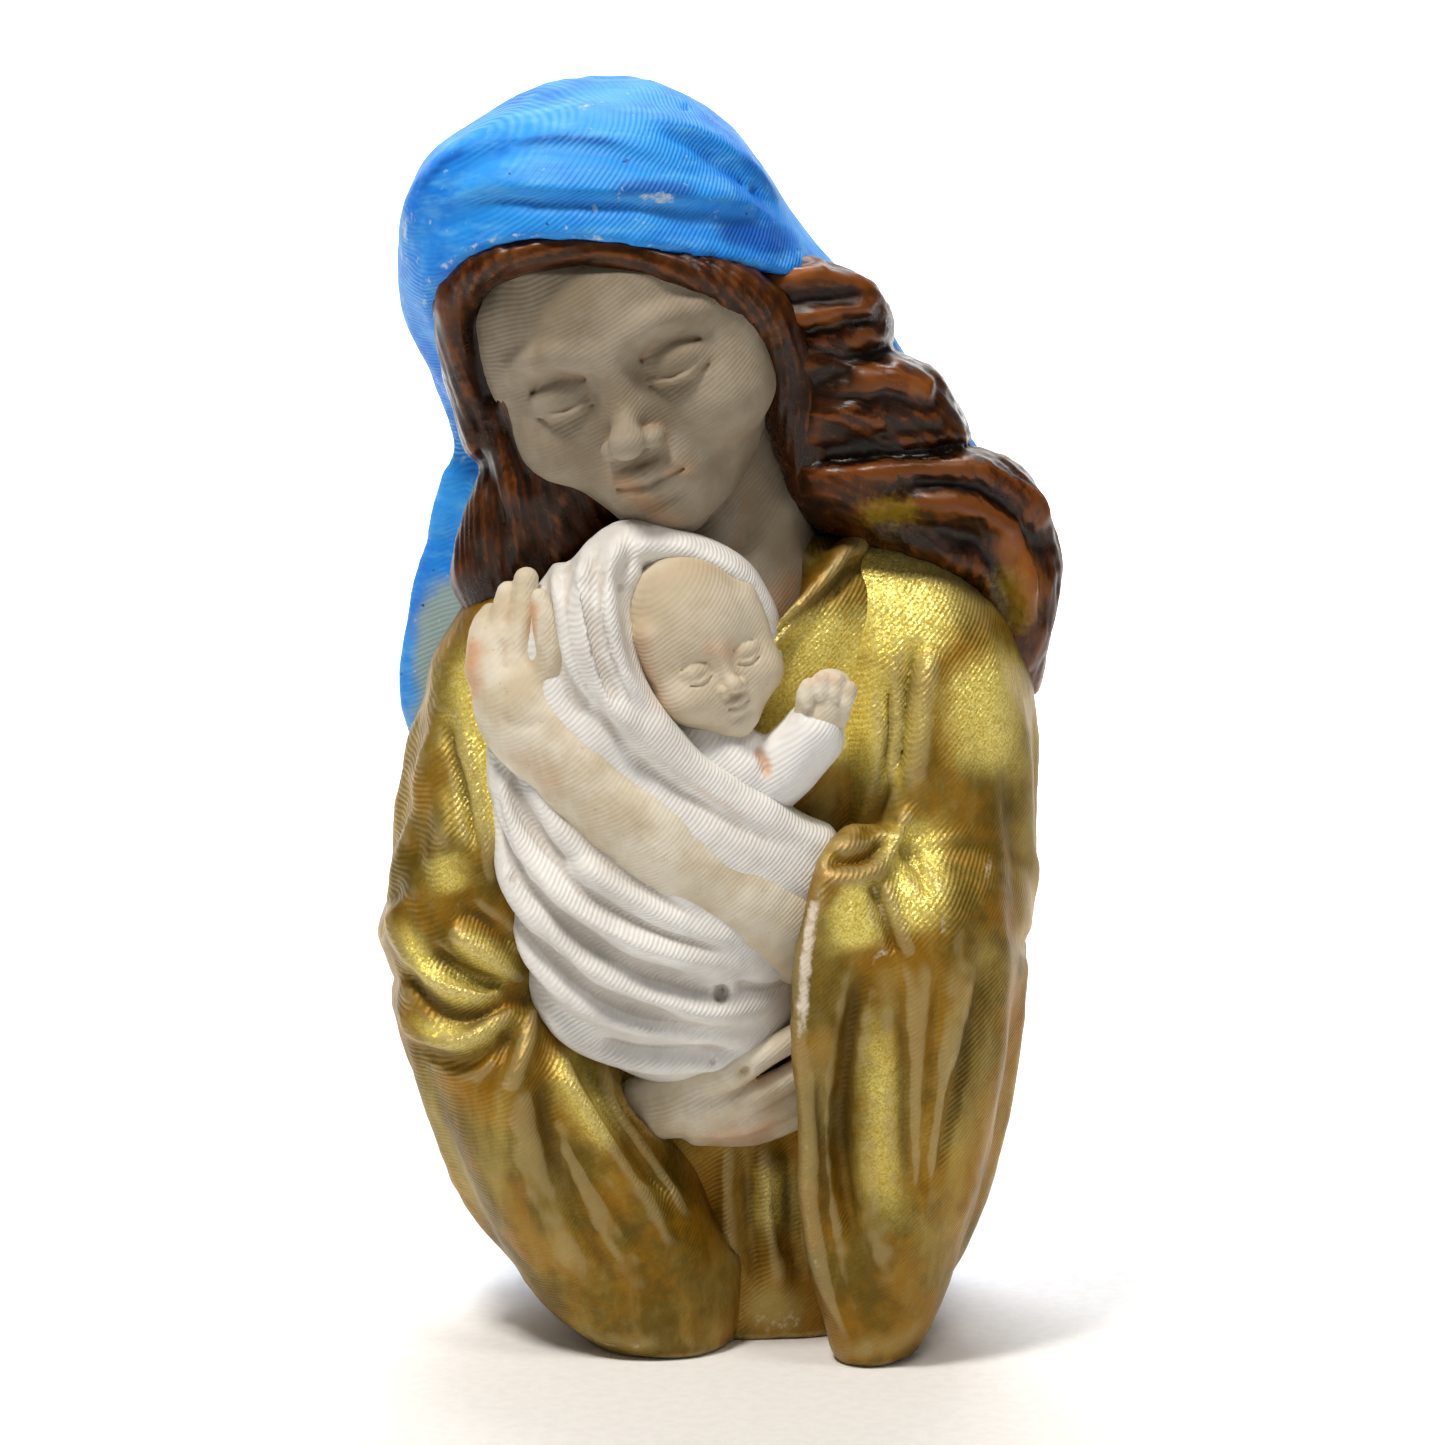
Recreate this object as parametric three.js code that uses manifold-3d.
// A painted plaster bust of a mother holding a swaddled child, about 148 mm tall.
//
// The figure is one plaster casting.  It is modelled as the masses that a sculptor builds it from and that
// a painter paints apart: veil, hair, head, robe, sleeves, hands, swaddling cloth and child.  Each mass is a
// closed solid of its own, and a mass that lies under another is cut back from it by a hairline seam.
//
// Millimetres.  +Z is up, -Y is the front, and the origin is the middle of the flat sole.
import * as THREE from "three";
import { mergeVertices } from "three/addons/utils/BufferGeometryUtils.js";
import Module from "manifold-3d";

const wasm = await Module();
wasm.setup();

// ---- driving dimensions -------------------------------------------------------------------------------

const HEIGHT = 148.2; // sole to the crown of the veil
const SPAN = 79.8; // elbow to the far curl of hair
const DEPTH = 56; // back of the veil to the front of the sleeve
const SEAM = 0.4; // hairline left between neighbouring masses

const HEAD = { across: 16.2, deep: 19, tall: 23.6, roll: 12, pitch: 12 };
const CHILD_HEAD = { across: 8, deep: 8.4, tall: 10.4, roll: 14, pitch: 6 };
const NECK_RADIUS = 8.6;
const WRIST_RADIUS = 5.4;
const FOREARM_RADIUS = 8;
const FINGER_RADIUS = 1.9;
const COLLAR_RADIUS = 1.7;
const LOCK_RADIUS = 7; // the thick waves of hair at the mother's left
const FRINGE_RADIUS = 3.4; // the band of hair under the veil's hem
const HEM_RADIUS = 2.4; // the rolled edge of the swaddling cloth
const CHILD_ARM_RADIUS = 3.6;
const HAND_RADIUS = 4.8; // the lower hand, under the child

const LOFT_SIDES = 16;
const LIMB_SIDES = 8;
const SQUARENESS = 2.3; // 2 is an ellipse, and more is squarer

// Stations are measured from a plumb line through the figure, at its modelled size, and stretched to the
// driving one.
const MODELLED = { height: 148.2, span: 79.8, depth: 56 };
const STRETCH = new THREE.Vector3(
  SPAN / MODELLED.span,
  DEPTH / MODELLED.depth,
  HEIGHT / MODELLED.height,
);

// ---- ways to make a mass ------------------------------------------------------------------------------

/** Moves each point of a geometry by a function of its place. */
function reshape(geometry, move) {
  const place = geometry.attributes.position;
  const point = new THREE.Vector3();
  for (let i = 0; i < place.count; i++) {
    move(point.fromBufferAttribute(place, i));
    place.setXYZ(i, point.x, point.y, point.z);
  }
  return geometry;
}

/** An upright cylinder pulled through level stations [z, left, right, front, back], lowest first. */
function loft(stations, grow) {
  const steps = stations.length - 1;
  const cylinder = new THREE.CylinderGeometry(1, 1, 1, LOFT_SIDES, steps);
  return reshape(cylinder, (p) => {
    const level = Math.round((p.y + 0.5) * steps);
    const [z, left, right, front, back] = stations[level];
    const side = new THREE.Vector2(p.x, -p.z);
    const corner = Math.abs(side.x) ** SQUARENESS + Math.abs(side.y) ** SQUARENESS;
    if (corner > 0) side.multiplyScalar(corner ** (-1 / SQUARENESS));
    if (Math.hypot(p.x, p.z) < 0.5) side.set(0, 0);
    const end = level === 0 ? -grow : level === steps ? grow : 0;
    p.set(
      (STRETCH.x * (left + right)) / 2 + side.x * ((STRETCH.x * (right - left)) / 2 + grow),
      (STRETCH.y * (front + back)) / 2 + side.y * ((STRETCH.y * (back - front)) / 2 + grow),
      STRETCH.z * z + end,
    );
  });
}

/** A round-ended limb through stops [x, y, z, radius across, radius front to back]. */
function limb(stops, grow) {
  const path = new THREE.CatmullRomCurve3(
    stops.map(([x, y, z]) => new THREE.Vector3(x, y, z).multiply(STRETCH)),
  );
  const last = stops.length - 1;
  const radiusAt = (share, which) => {
    const stop = Math.min(Math.floor(share * last), last - 1);
    return THREE.MathUtils.lerp(stops[stop][which], stops[stop + 1][which], share * last - stop) + grow;
  };
  const capsule = new THREE.CapsuleGeometry(1, 1, 2, LIMB_SIDES, 2 * last);
  return reshape(capsule, (p) => {
    const share = THREE.MathUtils.clamp(p.y + 0.5, 0, 1);
    const beyond = p.y - (share - 0.5); // how far into a round end
    const along = path.getTangent(share);
    const deep = new THREE.Vector3(0, 1, 0).addScaledVector(along, -along.y).normalize();
    const across = new THREE.Vector3().crossVectors(along, deep);
    const [wide, thick] = [radiusAt(share, 3), radiusAt(share, 4)];
    const { x, z } = p;
    p.copy(path.getPoint(share))
      .addScaledVector(along, beyond * Math.min(wide, thick))
      .addScaledVector(across, x * wide)
      .addScaledVector(deep, z * thick);
  });
}

/** An egg at a centre, bowed forward by its pitch and leaning to -X by its roll, in degrees. */
function egg([x, y, z], { across, deep, tall, roll = 0, pitch = 0 }, grow) {
  const sphere = new THREE.SphereGeometry(1, LOFT_SIDES, LOFT_SIDES / 2).rotateX(Math.PI / 2);
  const turn = new THREE.Matrix4()
    .makeRotationY(THREE.MathUtils.degToRad(-roll))
    .multiply(new THREE.Matrix4().makeRotationX(THREE.MathUtils.degToRad(pitch)));
  return sphere
    .scale(across + grow, deep + grow, tall + grow)
    .applyMatrix4(turn)
    .translate(x, y, z)
    .scale(...STRETCH);
}

/** A closed three.js geometry as a solid that can be joined and cut. */
function solid(geometry) {
  const bare = geometry.clone();
  bare.deleteAttribute("normal");
  bare.deleteAttribute("uv");
  const closed = mergeVertices(bare, 1e-4);
  const corners = closed.index.array;
  const triVerts = [];
  for (let i = 0; i < corners.length; i += 3) {
    const [a, b, c] = corners.slice(i, i + 3);
    if (a !== b && b !== c && a !== c) triVerts.push(a, b, c);
  }
  return new wasm.Manifold(
    new wasm.Mesh({
      numProp: 3,
      vertProperties: closed.attributes.position.array,
      triVerts: new Uint32Array(triVerts),
    }),
  );
}

const join = (shapes) => shapes.map(solid).reduce((whole, next) => whole.add(next));

// ---- the masses, from the outermost layer to the innermost --------------------------------------------

const masses = [];
/** Adds a mass: what it is made of, as a function of how far it is grown, and what else is cut from it. */
function mass(name, paint, shapes, cuts = () => []) {
  masses.push({ name, paint, shapes, cuts });
}

const WRIST = [-22, -17.5, 75];
const PALM = [-24.6, -15.5, 81];

mass("left_forearm", "skin", (g) => [
  limb([
    [...WRIST, WRIST_RADIUS, WRIST_RADIUS],
    [-9, -20, 62.8, 6.8, 6.6],
    [1.5, -20, 54.6, FOREARM_RADIUS, 7.4],
    [10.5, -17.5, 50.6, FOREARM_RADIUS, 7.6],
  ], g),
]);

mass("left_hand", "skin", (g) => [
  limb([[...WRIST, WRIST_RADIUS, 5], [...PALM, 5.2, 4.2], [-25.2, -14, 86, 3.6, 3.4]], g),
  limb([
    [-22.6, -17.6, 82, FINGER_RADIUS, FINGER_RADIUS],
    [-21.2, -18.4, 88.5, FINGER_RADIUS, FINGER_RADIUS],
  ], g),
  limb([
    [-26, -14, 84, FINGER_RADIUS * 1.2, 3],
    [-25, -11.5, 90.2, FINGER_RADIUS, 2.4],
  ], g),
]);

mass("child_hand", "skin", (g) => [
  limb([
    [10, -19.2, 73.6, CHILD_ARM_RADIUS * 0.86, 3.2],
    [12, -19.4, 77.6, CHILD_ARM_RADIUS * 0.84, 3],
  ], g),
]);

mass("child_head", "skin", (g) => [egg([-3.6, -15.6, 83.4], CHILD_HEAD, g)]);

mass("child_shirt", "shirt", (g) => [
  limb([[-4.5, -16, 70, 5, 5.4], [1.5, -17, 68.4, 4.8, 5.6]], g),
  limb([
    [3, -17.6, 66.2, CHILD_ARM_RADIUS, 4],
    [9.6, -18.4, 72.4, CHILD_ARM_RADIUS, 3.8],
  ], g),
]);

mass("swaddle_hood", "cloth", (g) => [
  limb([
    [10.4, -18, 60.6, HEM_RADIUS * 0.8, 4],
    [1, -20, 66, HEM_RADIUS, 5],
    [-7.4, -21, 71.6, HEM_RADIUS * 1.2, 5.6],
    [-12.8, -20.4, 79, HEM_RADIUS * 1.7, 5.6],
    [-15.6, -18.4, 87, HEM_RADIUS * 1.8, 5.6],
    [-13.6, -14.6, 93.4, HEM_RADIUS * 1.6, 5],
    [-6, -11.4, 94.4, HEM_RADIUS * 0.9, 4],
    [1.4, -10.6, 91, HEM_RADIUS * 0.8, 3.4],
    [4, -10.4, 86, HEM_RADIUS * 0.7, 3],
  ], g),
]);

mass("swaddle_body", "cloth", (g) => [
  loft([
    [33, -10, 2, -18, -8],
    [36, -18.2, 6.5, -22, -5],
    [40, -22.3, 9, -24, -3],
    [45, -24, 9.6, -25.4, -2],
    [50.5, -25.2, 10.4, -26.2, -2],
    [57, -26.8, 11, -26, -3],
    [64, -27.7, 7, -24.6, -4],
    [72, -27.7, -3, -22, -5],
    [78, -26.4, -11, -19, -7],
    [86, -23, -13, -17, -8],
    [93, -20, -12, -14, -8],
  ], g),
]);

mass("right_hand", "skin", (g) => [
  limb([
    [-5, -16, 28.6, HAND_RADIUS * 0.8, 4.4],
    [2, -18, 30, HAND_RADIUS, 5],
    [8.6, -18, 32, HAND_RADIUS, 5],
  ], g),
]);

mass("left_sleeve_drape", "robe", (g) => [
  loft([
    [0, 11.8, 22.6, -23.6, 6],
    [5, 10.6, 25.6, -25.4, 8],
    [14, 9.6, 29, -27, 10],
    [28, 8.6, 32.6, -28, 12],
    [42, 7.8, 34.8, -28, 14],
    [50, 8.6, 35.8, -27, 14],
    [56, 9.8, 35.6, -25, 12],
    [60, 11.4, 33, -20, 8],
  ], g),
]);

mass("right_sleeve_drape", "robe", (g) => [
  loft([
    [0, -16.6, 1.2, -21, 5],
    [3.5, -21.6, 2.2, -22.4, 6],
    [9, -25.8, 2.2, -23, 8],
    [15, -30, 0.9, -23.4, 10],
    [23.6, -34, -4, -23.6, 12],
    [31, -36.6, -8.6, -23.4, 13],
    [36.5, -38.9, -15, -22.4, 14],
    [42, -40, -20, -20.4, 14],
    [46, -39.4, -22, -17, 12],
  ], g),
]);

mass("head", "skin", (g) => [egg([-13, -3, 118.4], HEAD, g)]);

mass("neck", "skin", (g) => [
  loft([
    [84, -8, 11, -12, 8],
    [92, -9, 11.4, -11.6, 8],
    [96, NECK_RADIUS * -1.1, 10.2, -10.6, 8],
    [101, NECK_RADIUS * -1.1, NECK_RADIUS * 0.9, -9, 8],
    [109, NECK_RADIUS * -1.1, NECK_RADIUS * 0.4, -6, 8],
  ], g),
]);

mass("hair_fringe", "hair", (g) => [
  limb([
    [-32, -9, 118.6, FRINGE_RADIUS, 6],
    [-31, -11, 124.6, FRINGE_RADIUS, 6],
    [-25, -14.6, 129, FRINGE_RADIUS, 5],
    [-14, -16.4, 129.8, FRINGE_RADIUS, 5],
    [-4.6, -15, 127, FRINGE_RADIUS, 5],
    [2.6, -10.6, 121.4, FRINGE_RADIUS, 6],
  ], g),
]);

mass("hair_right_side", "hair", (g) => [
  loft([
    [90.6, -34.6, -22, -8, 4],
    [97, -32.6, -15, -10, 5],
    [103, -30.4, -13, -11, 6],
    [108.5, -31, -14, -12, 6],
    [113, -32.8, -18, -12, 6],
    [119, -34.8, -24, -11, 5],
    [124, -34.6, -26, -9, 4],
  ], g),
]);

// Each wave starts beside the face or the neck, however thick the locks are.
mass("hair_wave_top", "hair", (g) => [
  egg([LOCK_RADIUS * 1.46 - 1.2, -5.4, 120.5],
    { across: LOCK_RADIUS * 1.46, deep: 8.6, tall: LOCK_RADIUS, roll: -6 }, g),
]);

mass("hair_wave_middle", "hair", (g) => [
  egg([LOCK_RADIUS * 1.84 + 2.7, -4.8, 110.2],
    { across: LOCK_RADIUS * 1.84, deep: 8.6, tall: LOCK_RADIUS, roll: 4 }, g),
]);

mass("hair_wave_lower", "hair", (g) => [
  egg([LOCK_RADIUS * 2 + 9.4, -4.6, 98.6],
    { across: LOCK_RADIUS * 2, deep: 8.8, tall: LOCK_RADIUS, roll: 8 }, g),
  limb([
    [LOCK_RADIUS * 3.37 + 9.4, -2.6, 95, LOCK_RADIUS * 0.86, 6.6],
    [LOCK_RADIUS * 3.49 + 9.4, -1, 87, LOCK_RADIUS * 0.78, 6.4],
    [LOCK_RADIUS * 3.49 + 9.4, 1, 79, LOCK_RADIUS * 0.5, 4],
  ], g),
]);

mass("collar", "robe", (g) => [
  limb([
    [15, -4, 94, COLLAR_RADIUS, 4],
    [12, -8.4, 91.2, COLLAR_RADIUS, 3.6],
    [8.4, -11.6, 87.6, COLLAR_RADIUS, 3],
    [4.4, -13.4, 83.6, COLLAR_RADIUS, 2.6],
  ], g),
]);

// The veil opens over the face: the hem runs up the mother's right cheek and over her brow.
const faceWindow = (g) => [
  loft([
    [55, -34, 46, -50, 1],
    [91, -34.8, 46, -50, 1],
    [98, -32, 46, -50, 1],
    [103, -30, 46, -50, 1],
    [109, -31, 46, -50, 1],
    [119, -35.1, 46, -50, -1],
    [123.6, -35.2, 16, -50, -2],
    [126.6, -33.4, 3, -50, -4],
    [129.4, -29, -12, -50, -6],
    [130.2, -25, -18, -50, -7],
  ], g),
];

mass("veil_hood", "veil", (g) => [
  loft([
    [99, -32.2, 33, -2, 21],
    [106, -32.2, 30, -4, 22],
    [112, -34.6, 26, -8, 23],
    [120.8, -38.4, 18.4, -15, 24.4],
    [127, -38.9, 12, -18.4, 25],
    [133, -38, 7.4, -19, 25],
    [139, -34.9, 3, -17.6, 23.6],
    [144, -27.4, -1.6, -13, 19],
    [147, -20, -7, -7, 13],
    [148.2, -16, -11, -1, 7],
  ], g),
], faceWindow);

mass("left_upper_sleeve", "robe", (g) => [
  loft([
    [44, 14, 34.4, -20, 15],
    [52, 13, 35.9, -21, 16],
    [64, 12.6, 36.5, -19.6, 16],
    [76, 12, 36.2, -17, 15],
    [83, 11, 34.8, -14.6, 14],
    [88.4, 10, 32, -11.6, 12],
    [92.4, 11, 27, -8, 10],
    [94.6, 13, 22, -5, 7],
  ], g),
]);

mass("right_upper_sleeve", "robe", (g) => [
  loft([
    [38, -38.4, -19, -17, 14],
    [44, -40.2, -18, -19, 15],
    [49.5, -40.5, -18, -19.4, 16],
    [58, -39.4, -18, -17.6, 16],
    [66, -38.2, -18, -15.4, 16],
    [74, -36.6, -17, -13.4, 15],
    [82, -33.8, -16, -11, 14],
    [88, -30, -16, -8, 11],
    [91, -27, -18, -5, 8],
  ], g),
]);

mass("veil_back", "veil", (g) => [
  loft([
    [0, -20, 22, 9, 21],
    [12, -24, 26, 8, 25],
    [30, -29, 30, 8, 27],
    [50, -33, 33, 8, 27.6],
    [62, -36.4, 33.4, 6, 27.8],
    [68.6, -38.8, 33.6, 3, 27.6],
    [75.5, -39.8, 34, 1.4, 27],
    [86.4, -38.1, 34.6, 0, 25.6],
    [94, -35.4, 34.6, -1, 23.4],
    [98.4, -33, 33, -2, 21.4],
  ], g),
]);

mass("robe_body", "robe", (g) => [
  loft([
    [0, -13, 19, -13.4, 13],
    [18, -22, 25, -13.8, 16],
    [34, -28, 28, -15, 18],
    [56, -33, 31, -15, 18],
    [74, -30, 31, -14.6, 18],
    [86, -24, 28, -13.6, 16],
    [91.6, -16, 22, -10, 12],
    [94.4, -6, 16, -5, 8],
  ], g),
]);

// ---- assembly -----------------------------------------------------------------------------------------

const PAINTS = {
  veil: { color: 0x3f93ea, roughness: 0.6, metalness: 0 },
  hair: { color: 0x4a2510, roughness: 0.3, metalness: 0 },
  skin: { color: 0xd9cfbb, roughness: 0.7, metalness: 0 },
  cloth: { color: 0xe4e2de, roughness: 0.55, metalness: 0 },
  shirt: { color: 0xe9e8e6, roughness: 0.55, metalness: 0 },
  robe: { color: 0xa88226, roughness: 0.4, metalness: 0.7 },
};
const materials = Object.fromEntries(
  Object.entries(PAINTS).map(([name, look]) => [name, new THREE.MeshStandardMaterial({ name, ...look })]),
);

/** The largest body of a solid, without the slivers that a cut leaves. */
function largest(whole) {
  return whole.decompose().reduce((best, next) => (next.volume() > best.volume() ? next : best));
}

function geometryOf(whole) {
  const { vertProperties, triVerts } = whole.getMesh();
  const geometry = new THREE.BufferGeometry();
  geometry.setAttribute("position", new THREE.BufferAttribute(new Float32Array(vertProperties), 3));
  geometry.setIndex(new THREE.BufferAttribute(new Uint32Array(triVerts), 1));
  geometry.computeVertexNormals();
  return geometry;
}

const statue = new THREE.Group();
statue.name = "madonna_statue";
let above = null; // everything already placed, grown by the seam
for (const { name, paint, shapes, cuts } of masses) {
  let body = join(shapes(0));
  for (const cut of cuts(0)) body = body.subtract(solid(cut));
  if (above) body = largest(body.subtract(above));
  const mesh = new THREE.Mesh(geometryOf(body), materials[paint]);
  mesh.name = name;
  statue.add(mesh);
  let grown = join(shapes(SEAM));
  for (const cut of cuts(-SEAM)) grown = grown.subtract(solid(cut));
  above = above ? above.add(grown) : grown;
}

const around = new THREE.Box3().setFromObject(statue);
const middle = around.getCenter(new THREE.Vector3());
statue.position.set(-middle.x, -middle.y, -around.min.z);

export default statue;
